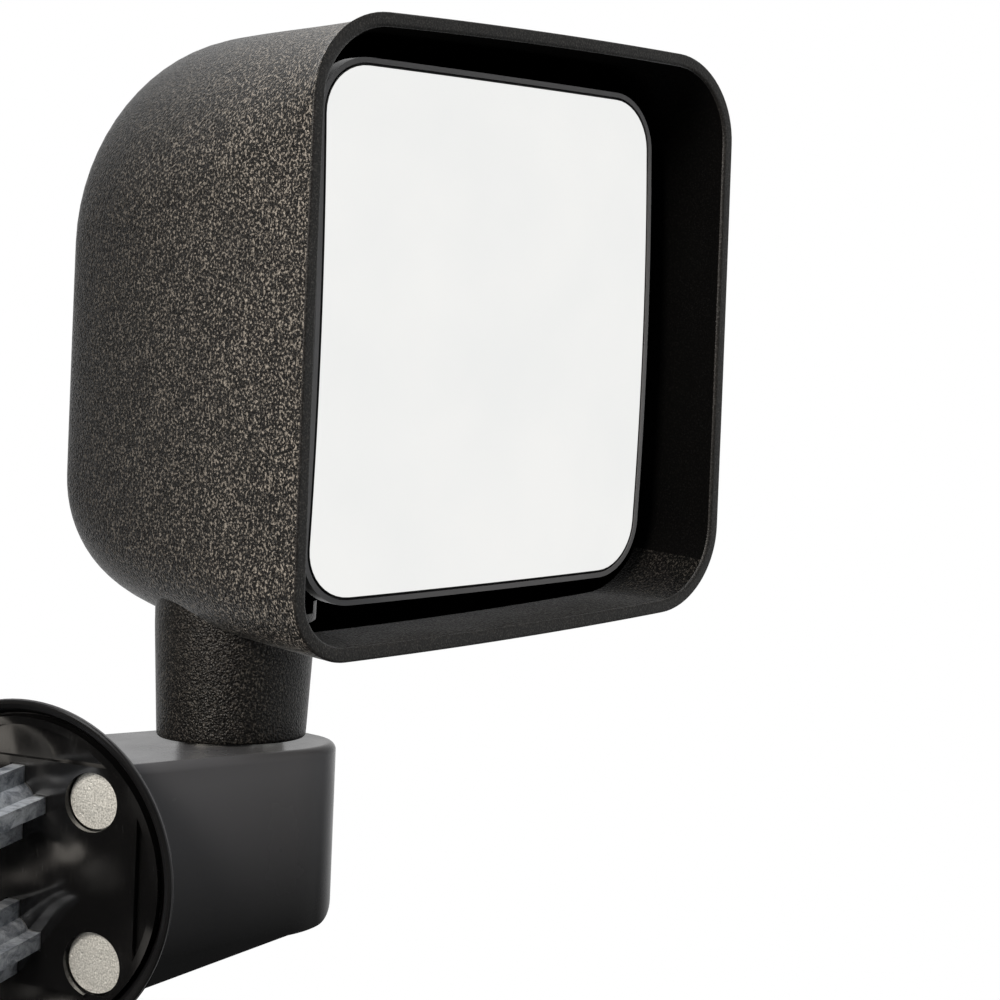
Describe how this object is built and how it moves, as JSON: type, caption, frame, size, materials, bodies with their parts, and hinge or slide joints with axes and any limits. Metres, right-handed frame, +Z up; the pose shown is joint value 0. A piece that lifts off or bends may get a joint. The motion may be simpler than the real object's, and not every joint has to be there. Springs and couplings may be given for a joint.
{
  "type": "towing mirror",
  "caption": "Door-mounted manual folding mirror with a large square grained housing, convex glass, round neck and swept arm on a round base.",
  "frame": {"origin": "midway between the two stud posts, on the plane that meets the door skin", "axes": "+X outboard from the door, +Y towards the front of the vehicle, +Z up"},
  "size_m": [0.2868, 0.2392, 0.3561],
  "materials": {
    "housing_grain": "pebbled grain moulding",
    "arm_satin": "smooth satin moulding",
    "gloss_black": "gloss moulding",
    "raw_casting": "raw die casting",
    "black_rubber": "soft rubber",
    "zinc_steel": "zinc plated",
    "spring_steel": "oiled spring steel",
    "bearing_plastic": "natural bearing plastic",
    "holder_black": "fine satin moulding",
    "foam_pad": "foam",
    "mirror_glass": "convex mirror"
  },
  "bodies": {
    "base": {"arm_cover": "arm_satin", "base_casting": "raw_casting", "cover_screws": "zinc_steel", "base_cover": "gloss_black", "door_seal": "black_rubber", "pivot_shaft": "zinc_steel", "detent_ring": "zinc_steel", "fold_spring": "spring_steel", "spring_cup": "zinc_steel", "pivot_nut": "zinc_steel"},
    "head": {"housing": "housing_grain", "support_bracket": "raw_casting", "bracket_screws": "zinc_steel", "pivot_bush": "bearing_plastic", "wear_washer": "bearing_plastic", "spring_seat": "zinc_steel", "swivel_base": "holder_black", "ball_retainer": "holder_black", "retainer_screws": "zinc_steel", "swivel_screws": "zinc_steel"},
    "swivel": {"pivot_ball": "bearing_plastic", "tilt_pin": "zinc_steel"},
    "glass": {"glass_holder": "holder_black", "adhesive_pad": "foam_pad", "mirror_glass": "mirror_glass"}
  },
  "joints": [
    {"name": "head_fold", "type": "hinge", "parent": "base", "child": "head", "pos_m": [0.09119, -0.0333, 0.05985], "axis": [0.0895, 0.0468, 0.9949], "range_deg": [-62, 68]},
    {"name": "glass_swivel", "type": "hinge", "parent": "head", "child": "swivel", "pos_m": [0.15012, -0.08251, 0.1825], "axis": [0, 0, 1], "range_deg": [-8, 8]},
    {"name": "glass_tilt", "type": "hinge", "parent": "swivel", "child": "glass", "pos_m": [0.14283, -0.09675, 0.1825], "axis": [0.8902, -0.4555, 0], "range_deg": [-8, 8]}
  ]
}
